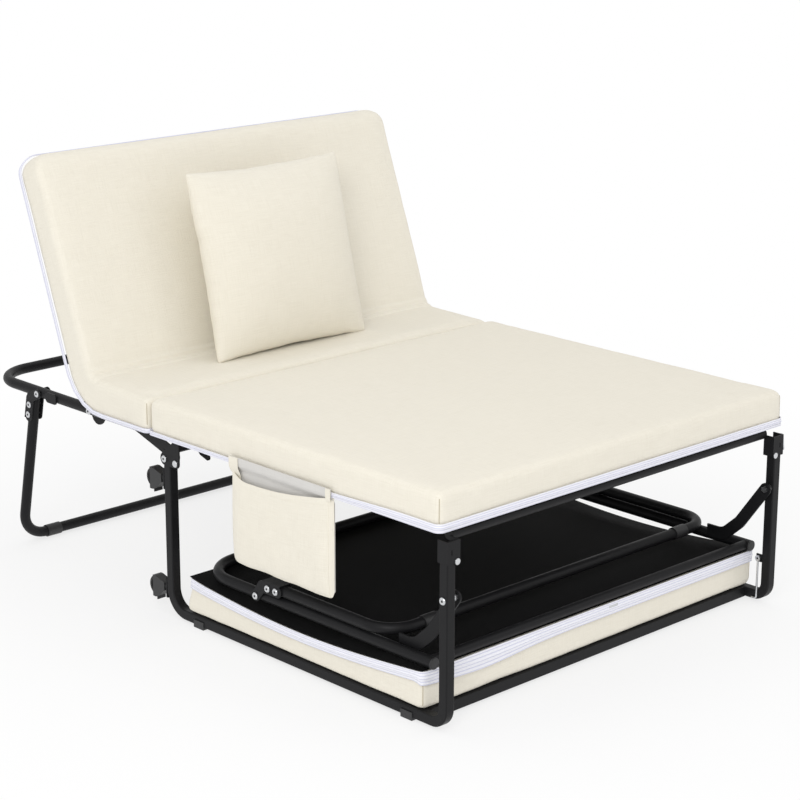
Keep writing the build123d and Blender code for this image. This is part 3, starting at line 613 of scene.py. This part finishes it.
def lounge_mattress():
    """The head mattress and backrest in one bent cover, creased where it bends."""
    low = Vector((-half_width, seam_y, pad_z))
    high = Vector((half_width, seam_y + lounge_length, pad_z + thickness))
    pad = cushion("lounge_cushion", low, high, lounge_shape, top_corner_radius)
    pad.data.materials.clear()
    pad.data.materials.append(linen)
    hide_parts("head_mattress", "back_mattress")
    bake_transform(pad)
    for side, x in (("left", low.x), ("right", high.x)):
        heights = spread(low.z + zip_height, high.z - edge_radius / 2, 8)
        seam(f"head_corner_seam_{side}", pad, [Vector((x, low.y, z)) for z in heights], "head")
    return pad


def foot_sag(place):
    """The stowed mattress hangs slack between its ends: the zip side dips under the side tubes."""
    dip = 21 * MM
    dip_start = foot_high.x - 105 * MM
    dip_end = foot_high.x - 5 * MM
    lip_width = 2 * MM
    lip_drop = 5 * MM
    lip_bow = 4 * MM
    drawn_in = 20 * MM
    drawn_length = 70 * MM
    share = (place.y - foot_low.y) / (foot_high.y - foot_low.y)
    bow = math.sin(math.pi * min(max(share, 0), 1))
    out = smoothstep(abs(place.x), dip_start, dip_end)
    up = smoothstep(place.z, foot_low.z, foot_high.z)
    lip = smoothstep(abs(place.x), rail_high_x, rail_high_x + lip_width) * (1 - up)
    sunk = place.copy()
    sunk.z -= bow * dip * out * up + (lip_drop + lip_bow * bow) * lip
    sunk.y -= drawn_in * up * smoothstep(place.y, foot_high.y - drawn_length, foot_high.y)
    return sunk


def seat_zip_roll(place):
    """The cover rolls down over the zip along the sides, and leaves it open at the front."""
    hidden_share = 0.45
    roll_start = seat_low.y + 60 * MM
    roll_end = seat_low.y + 330 * MM
    rolled = place.copy()
    seen = 1 - hidden_share * smoothstep(place.y, roll_start, roll_end)
    rolled.z = seat_low.z + (place.z - seat_low.z) * seen
    return rolled


def foot_zip_roll(place):
    """The zip of the stowed mattress shows more of its tapes at the front, most near one end."""
    front_start = foot_low.y + 2 * MM
    front_end = foot_low.y + 20 * MM
    widest = 150 * MM
    widest_reach = 120 * MM
    rolled = place.copy()
    front = 1 - smoothstep(place.y, front_start, front_end)
    away = (place.x - foot_low.x - widest) / widest_reach
    grown = 1 + front * (0.25 + 0.55 * math.exp(-away * away))
    rolled.z = foot_high.z + (place.z - foot_high.z) * grown
    return foot_sag(rolled)


def foot_mattress():
    """The stowed foot mattress, lying upside down on the base rails."""
    low = Vector(foot_low)
    high = Vector(foot_high)
    pad = cushion("foot_cushion", low, high)
    for v in pad.data.vertices:
        v.co.z = min(v.co.z, high.z - under_deck)
        v.co = foot_sag(v.co)
    cover(pad, linen, "foot", "foot_mattress")
    for side, x in (("left", low.x), ("right", high.x)):
        heights = spread(low.z + edge_radius / 2, high.z - foot_zip_height, 8)
        seam(f"foot_corner_seam_{side}", pad, [Vector((x, low.y, z)) for z in heights], "foot")
    return pad


def tape_ring(name, low, high, corner, proud, end_corner=None):
    """Zip tape round a mattress: a tall thin ring with a raised row of teeth along its middle."""
    ring = box_piece(name, low - Vector((proud, proud, 0)), high + Vector((proud, proud, 0)))
    activate(ring)
    bpy.ops.object.mode_set(mode="EDIT")
    bpy.ops.mesh.select_mode(type="FACE")
    bpy.ops.mesh.select_all(action="DESELECT")
    bm = bmesh.from_edit_mesh(ring.data)
    for face in bm.faces:
        face.select_set(abs(face.normal.z) > 0.5)
    bmesh.update_edit_mesh(ring.data)
    bpy.ops.mesh.delete(type="ONLY_FACE")
    bpy.ops.object.mode_set(mode="OBJECT")
    round_corners(ring, corner, end_corner)
    return ring


def teeth_profile(obj, low_z, high_z, rise):
    """Cuts the ring at the rows where the tape meets the teeth, and lifts the middle row."""
    mid = (low_z + high_z) / 2
    half = 1.6 * MM
    for z in (mid - half, mid - half / 2, mid, mid + half / 2, mid + half):
        activate(obj)
        bpy.ops.object.mode_set(mode="EDIT")
        bpy.ops.mesh.select_all(action="SELECT")
        bpy.ops.mesh.bisect(plane_co=(0, 0, z), plane_no=(0, 0, 1))
    bpy.ops.object.mode_set(mode="OBJECT")
    normals = [v.normal.copy() for v in obj.data.vertices]
    for v, n in zip(obj.data.vertices, normals):
        near = 1 - min(abs(v.co.z - mid) / half, 1)
        v.co += n * rise * near


def fine_rows(obj, step):
    """Cuts long faces across, so that the tape can follow a bend and waver."""
    for axis in (0, 1):
        lo = min(v.co[axis] for v in obj.data.vertices)
        hi = max(v.co[axis] for v in obj.data.vertices)
        count = int((hi - lo) / step)
        normal = [0, 0, 0]
        normal[axis] = 1
        for i in range(1, count):
            where = [0, 0, 0]
            where[axis] = lo + (hi - lo) * i / count
            activate(obj)
            bpy.ops.object.mode_set(mode="EDIT")
            bpy.ops.mesh.select_all(action="SELECT")
            bpy.ops.mesh.bisect(plane_co=where, plane_no=normal)
        bpy.ops.object.mode_set(mode="OBJECT")


def thicken(obj, amount):
    mod = obj.modifiers.new("thick", "SOLIDIFY")
    mod.thickness = amount
    mod.offset = -1
    apply(obj, mod)


def zip_rings():
    """The white zip tapes of the three mattresses."""
    proud = 0.8 * MM
    up = Vector((0, 0, zip_height))
    foot_up = Vector((0, 0, foot_zip_height))
    seat = tape_ring("seat_zip", Vector((-half_width, seat_low.y, seat_low.z)),
                     Vector((half_width, seat_high.y, seat_low.z)) + up, corner_radius, proud)
    foot = tape_ring("foot_zip", Vector((foot_low.x, foot_low.y, foot_high.z)) - foot_up,
                     Vector(foot_high), corner_radius, proud)
    lounge_up = Vector((0, 0, lounge_zip_height))
    lounge = tape_ring("lounge_zip", Vector((-half_width, seam_y, pad_z)),
                       Vector((half_width, seam_y + lounge_length, pad_z)) + lounge_up,
                       corner_radius, proud, top_corner_radius)
    rings = ((seat, seat_low.z, zip_height, seat_zip_roll),
             (lounge, pad_z, lounge_zip_height, lounge_shape),
             (foot, foot_high.z - foot_zip_height, foot_zip_height, foot_zip_roll))
    for ring, low_z, height, shape in rings:
        fine_rows(ring, tape_row_step)
        teeth_profile(ring, low_z, low_z + height, teeth_rise)
        cloth_map(ring)
        for v in ring.data.vertices:
            v.co = shape(v.co)
        thicken(ring, tape_thickness)
        smooth(ring, math.radians(50))
        ring.data.materials.append(zip_tape)
    cover(seat, zip_tape, "seat", "seat_zip_band")
    cover(foot, zip_tape, "foot", "foot_zip_band")
    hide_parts("head_zip_band", "back_zip_band")
    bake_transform(lounge)


# Decks and pocket

def panel(name, size, cells, place):
    """A cloth panel: a grid of the flat size whose points a rule puts in their places."""
    deselect()
    bpy.ops.mesh.primitive_grid_add(x_subdivisions=cells[0], y_subdivisions=cells[1], size=1)
    obj = bpy.context.object
    obj.name = name
    layer = obj.data.uv_layers.new(name="cloth")
    for loop in obj.data.loops:
        co = obj.data.vertices[loop.vertex_index].co
        layer.data[loop.index].uv = ((co.x + 0.5) * size[0], (co.y + 0.5) * size[1])
    for v in obj.data.vertices:
        v.co = place(v.co.x + 0.5, v.co.y + 0.5)
    return obj


def deck(name, node_name, body, size, place):
    """A black cloth deck drawn tight over its tubes, hanging a little between them."""
    cells = (40, 40)
    cloth_thickness = 1.4 * MM
    obj = panel(name, size, cells, place)
    thicken(obj, cloth_thickness)
    smooth(obj)
    cover(obj, deck_cloth, body, node_name)
    return obj


def hang(u, v):
    """How far the middle of a deck hangs, from 0 at its edges to 1."""
    return (1 - (2 * u - 1) ** 4) * (1 - (2 * v - 1) ** 4)


def flat_deck(node_name, body, sag, shape=None, front=0):
    low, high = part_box(node_name)
    low = Vector((low.x, low.y + front, low.z))
    top = high.z

    def place(u, v):
        x = low.x + u * (high.x - low.x)
        y = low.y + v * (high.y - low.y)
        at = Vector((x, y, top - sag * hang(u, v)))
        return shape(at) if shape else at

    size = (high.x - low.x, high.y - low.y)
    return deck(f"{node_name}_cloth", node_name, body, size, place)


def decks():
    """The four decks."""
    seat_sag = 5 * MM
    head_sag = 3 * MM
    stowed_sag = 1 * MM
    back_sag = 4 * MM
    behind_zip = 9 * MM
    thin = 1.7 * MM
    flat_deck("seat_deck", "seat", seat_sag)
    flat_deck("head_deck", "head", head_sag)
    flat_deck("foot_deck", "foot", stowed_sag, foot_sag, behind_zip)
    low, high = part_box("back_deck")
    length = (high.z - low.z - thin * math.cos(slope)) / math.sin(slope)
    foot = Vector((0, low.y, low.z + thin * math.cos(slope)))

    def place(u, v):
        run = v * length
        sink = back_sag * hang(u, v)
        y = foot.y + run * math.cos(slope) + sink * math.sin(slope)
        z = foot.z + run * math.sin(slope) - sink * math.cos(slope)
        return Vector((low.x + u * (high.x - low.x), y, z))

    deck("back_deck_cloth", "back_deck", "back", (high.x - low.x, length), place)


def pocket_top(u):
    """The height of the mouth along the pocket: it droops most towards its rear end."""
    lowest = 0.8
    deepest = 27 * MM
    rear_rise = 20 * MM
    below_cover = 1 * MM
    if u < lowest:
        droop = deepest * math.sin(math.pi / 2 * u / lowest) ** 0.9
    else:
        droop = deepest - rear_rise * ((u - lowest) / (1 - lowest)) ** 2.5
    return pad_z - below_cover - droop


def pocket_bottom(u):
    """The lower edge, with rounded corners and a slight belly."""
    radius = 13 * MM
    hang_below = 3 * MM
    belly = 2 * MM
    away = min(u, 1 - u) * pocket_width
    lift = 0
    if away < radius:
        lift = radius - math.sqrt(radius * radius - (radius - away) ** 2)
    return pocket_low.z - hang_below + lift - belly * math.sin(3 * math.pi * u) ** 2


def pocket_point(u, v, proud=0.0):
    """A point of the front panel: u along the pocket, v from the lower edge to the mouth."""
    flat_depth = 2 * MM
    fullness = 12 * MM
    broad_crumple = 1.3 * MM
    fine_crumple = 0.7 * MM
    z = pocket_bottom(u) + v * (pocket_top(u) - pocket_bottom(u))
    y = pocket_low.y + u * pocket_width
    edge = (1 - abs(2 * u - 1) ** 7) ** 0.5
    hollow = (1 - abs(1 - 2 * v) ** 3) ** 0.5 if v < 0.5 else 1 - 0.3 * (2 * v - 1) ** 2
    depth = flat_depth + fullness * edge * hollow
    crumple = broad_crumple * noise.noise(Vector((u * 5, v * 3, 4.2)))
    crumple += fine_crumple * noise.noise(Vector((u * 12, v * 5, 1.7)))
    return Vector((pocket_back_x - depth - crumple * edge - proud, y, z))


def pocket_lining(u, v):
    """The back panel: it hangs from the cover's edge, over the zip, and lies flat below."""
    z = pocket_bottom(u) + v * (pad_z + zip_height - pocket_bottom(u))
    out = 9.5 * MM * smoothstep(z, pad_z - 12 * MM, pad_z + 2 * MM)
    return Vector((pocket_back_x - out, pocket_low.y + u * pocket_width, z))


def pocket_tab(start, end):
    """A strap that carries one end of the mouth up to the cover."""
    def place(u, v):
        share = start + (end - start) * u
        low = pocket_top(share) - 6 * MM
        z = low + v * (pad_z + zip_height - low)
        out = (3.5 + 8 * smoothstep(z, pad_z - 25 * MM, pad_z)) * MM
        return Vector((pocket_back_x - out, pocket_low.y + share * pocket_width, z))
    return place


def side_pocket():
    """A cloth pocket hung beside the seat, its mouth drooping, with a folded hem and a grey lining."""
    flat = (pocket_width, pad_z + zip_height - pocket_low.z)
    hem_flat = (pocket_width, 10 * MM)
    rear_flat = (0.09 * pocket_width, 45 * MM)
    front_flat = (0.045 * pocket_width, 30 * MM)
    back = panel("pocket_back", flat, (24, 40), pocket_lining)
    front = panel("pocket_front", flat, (60, 34), pocket_point)
    hem = panel("pocket_hem", hem_flat, (60, 4),
                lambda u, v: pocket_point(u, 0.945 + 0.06 * v, 0.8 * MM))
    rear_tab = panel("pocket_rear_tab", rear_flat, (5, 10), pocket_tab(0.91, 1))
    front_tab = panel("pocket_front_tab", front_flat, (3, 10), pocket_tab(0, 0.045))
    piping = panel("pocket_piping", (2 * MM, flat[1]), (3, 40),
                   lambda u, v: pocket_point(0.028 + 0.008 * u, v, 0.9 * MM))
    panels = ((back, lining, 1.0), (front, linen, 1.2), (hem, linen, 0.8), (rear_tab, linen, 1.0),
              (front_tab, linen, 1.0), (piping, linen, 0.9))
    for obj, finish, wall in panels:
        thicken(obj, wall * MM)
        smooth(obj)
        cover(obj, finish, "seat")
    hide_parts("side_pocket")


def recess_shade_discs():
    """A dark hexagonal disc on the outermost end of each bolt, which stands for its drive recess: its
    black is painted shade, the shade inside the recess.
    """
    socket_radius = 2.4 * MM
    socket_depth = 0.5 * MM
    socket_proud = 0.1 * MM
    for body in ("base", "head_leg", "foot_leg", "head", "foot"):
        name = f"{body}_bolts"
        source = frame["nodes"][name]
        for index, (x, y, z) in enumerate(outer_ends(source)):
            deselect()
            side = math.copysign(1, x)
            bpy.ops.mesh.primitive_cylinder_add(vertices=6, radius=socket_radius, depth=socket_depth,
                                                location=(x, y, z), rotation=(0, math.pi / 2, 0))
            recess_shade_disc = bpy.context.object
            recess_shade_disc.name = f"{name}_socket_{index}"
            bpy.ops.object.transform_apply(location=True, rotation=True, scale=True)
            recess_shade_disc.data.transform(Matrix.Translation((side * socket_proud, 0, 0)))
            # the black plastic finish on this disc is painted shade, the shade inside the drive recess
            cover(recess_shade_disc, plastic, body)


def outer_ends(source):
    """The middle of the outermost face of each bolt in a node."""
    bm = bmesh.new()
    bm.from_mesh(source.data)
    bmesh.ops.remove_doubles(bm, verts=bm.verts, dist=same_place)
    left = set(bm.verts)
    ends = []
    while left:
        found = {left.pop()}
        edge = list(found)
        while edge:
            vert = edge.pop()
            for link in vert.link_edges:
                other = link.other_vert(vert)
                if other in left:
                    left.remove(other)
                    found.add(other)
                    edge.append(other)
        far = max(abs(v.co.x) for v in found)
        face = [v.co for v in found if abs(v.co.x) > far - 1e-5]
        ends.append(sum(face, Vector()) / len(face))
    bm.free()
    return ends


# Pillow

def pillow():
    """A square pillow with drawn-in sides, standing on the mattress against the backrest."""
    wide = 408 * MM
    tall = 392 * MM
    thin = 8 * MM
    plump = 64 * MM
    case_corner = 7 * MM
    case_edge = 2.5 * MM
    case_cell = 5 * MM
    above_mattress = 1 * MM
    gather_height = 2.5 * MM
    crumple_height = 1.5 * MM
    low = Vector((-wide / 2, -tall / 2, -thin / 2))
    pad = rounded_block("pillow_case", low, -low, case_corner, case_edge)
    remesh(pad, case_cell)
    cloth_map(pad)
    for v in pad.data.vertices:
        across = min(abs(2 * v.co.x / wide), 1)
        along = min(abs(2 * v.co.y / tall), 1)
        full = ((1 - across ** 2.6) * (1 - along ** 2.6)) ** 0.62
        seam_pull = noise.noise(Vector((v.co.x * 28, v.co.y * 28, 3.1)))
        gather = max(across, along) ** 5
        v.co.z = v.co.z * (1 - full) + math.copysign(plump * full, v.co.z)
        crumple = gather_height * seam_pull * gather + crumple_height * noise.noise(v.co * 11)
        v.co.z += crumple * math.sqrt(full)
        v.co.x *= 1 - 0.045 * (1 - along * along) - 0.012 * seam_pull * gather
        v.co.y *= 1 - 0.040 * (1 - across * across) - 0.012 * seam_pull * gather
    subdivide(pad)
    smooth(pad, math.pi)
    lean = math.radians(76)
    low_y = min(v.co.y for v in pad.data.vertices)
    middle_x = (pillow_low.x + pillow_high.x) / 2
    stand = Matrix.Translation(Vector((middle_x, pillow_y, pad_z + thickness + above_mattress)))
    turn = Matrix.Rotation(lean, 4, "X") @ Matrix.Translation(Vector((0, -low_y, 0)))
    pad.data.transform(stand @ turn)
    cover(pad, linen, "head", "pillow")
    return pad


dress_frame()
seat_mattress()
lounge_mattress()
foot_mattress()
zip_rings()
decks()
side_pocket()
recess_shade_discs()
pillow()


# Camera, floor and light

def camera():
    """The photograph's view, from its fitted place."""
    cam_data = bpy.data.cameras.new("camera")
    sensor = 36
    picture_pixels = 800
    focal_pixels = 2224
    cam_data.sensor_width = sensor
    cam_data.lens = focal_pixels / picture_pixels * sensor
    cam_data.clip_end = 60
    cam = bpy.data.objects.new("camera", cam_data)
    bpy.context.scene.collection.objects.link(cam)
    yaw = math.radians(43.6)
    pitch = math.radians(15.9)
    roll = math.radians(0.12)
    middle_y = 0.71625
    cam.location = (-2.971, -2.516 - middle_y, 1.617)
    forward = Vector((math.sin(yaw) * math.cos(pitch), math.cos(yaw) * math.cos(pitch),
                      -math.sin(pitch)))
    turn = forward.to_track_quat("-Z", "Y").to_matrix().to_4x4()
    cam.matrix_world = Matrix.Translation(cam.location) @ turn @ Matrix.Rotation(roll, 4, "Z")
    bpy.context.scene.camera = cam


def floor():
    """A pale floor that keeps the object's shadow and turns plain white further out."""
    deselect()
    bpy.ops.mesh.primitive_plane_add(size=60, location=(0, 0, -0.0005))
    plane = bpy.context.object
    plane.name = "studio_floor"
    mat, tree, shader = new_material("studio_white")
    shader.inputs["Base Color"].default_value = (0.90, 0.90, 0.90, 1)
    shader.inputs["Roughness"].default_value = 0.9
    shader.inputs["Specular IOR Level"].default_value = 0.0
    where = node(tree, "TexCoord")
    away = node(tree, "VectorMath", operation="LENGTH")
    tree.links.new(where.outputs["Object"], away.inputs[0])
    far = ramp(tree, math_node(tree, "MULTIPLY", away.outputs["Value"], 0.25),
               [(0.18, (0.72, 0.72, 0.72)), (0.42, (1, 1, 1))])
    glow = tree.nodes.new("ShaderNodeEmission")
    mix = tree.nodes.new("ShaderNodeMixShader")
    tree.links.new(far, mix.inputs["Fac"])
    tree.links.new(shader.outputs["BSDF"], mix.inputs[1])
    tree.links.new(glow.outputs["Emission"], mix.inputs[2])
    out = [n for n in tree.nodes if n.bl_idname == "ShaderNodeOutputMaterial"][0]
    tree.links.new(mix.outputs[0], out.inputs["Surface"])
    plane.data.materials.append(mat)


def area(name, place, target, size, power):
    data = bpy.data.lights.new(name, "AREA")
    data.shape = "RECTANGLE"
    data.size = size[0]
    data.size_y = size[1]
    data.energy = power
    lamp = bpy.data.objects.new(name, data)
    bpy.context.scene.collection.objects.link(lamp)
    lamp.location = place
    direction = Vector(target) - Vector(place)
    lamp.rotation_euler = direction.to_track_quat("-Z", "Y").to_euler()


def light():
    world = bpy.data.worlds.new("studio")
    world.use_nodes = True
    bpy.context.scene.world = world
    tree = world.node_tree
    tree.nodes.clear()
    out = tree.nodes.new("ShaderNodeOutputWorld")
    back = tree.nodes.new("ShaderNodeBackground")
    back.inputs["Color"].default_value = (1, 1, 1, 1)
    back.inputs["Strength"].default_value = 0.80
    white = tree.nodes.new("ShaderNodeBackground")
    white.inputs["Color"].default_value = (1, 1, 1, 1)
    mix = tree.nodes.new("ShaderNodeMixShader")
    path = tree.nodes.new("ShaderNodeLightPath")
    tree.links.new(path.outputs["Is Camera Ray"], mix.inputs["Fac"])
    tree.links.new(back.outputs[0], mix.inputs[1])
    tree.links.new(white.outputs[0], mix.inputs[2])
    tree.links.new(mix.outputs[0], out.inputs["Surface"])
    area("key_left", (-3.4, -2.6, 2.8), (0, 0.3, 0.5), (1.8, 1.8), 74)
    area("key_right", (2.6, -3.2, 3.0), (0, 0.3, 0.5), (1.6, 1.6), 10)
    area("top_soft", (0.3, 0.6, 4.2), (0, 0, 0.2), (4.0, 4.0), 15)


camera()
floor()
light()
bpy.context.scene.view_settings.view_transform = "Standard"
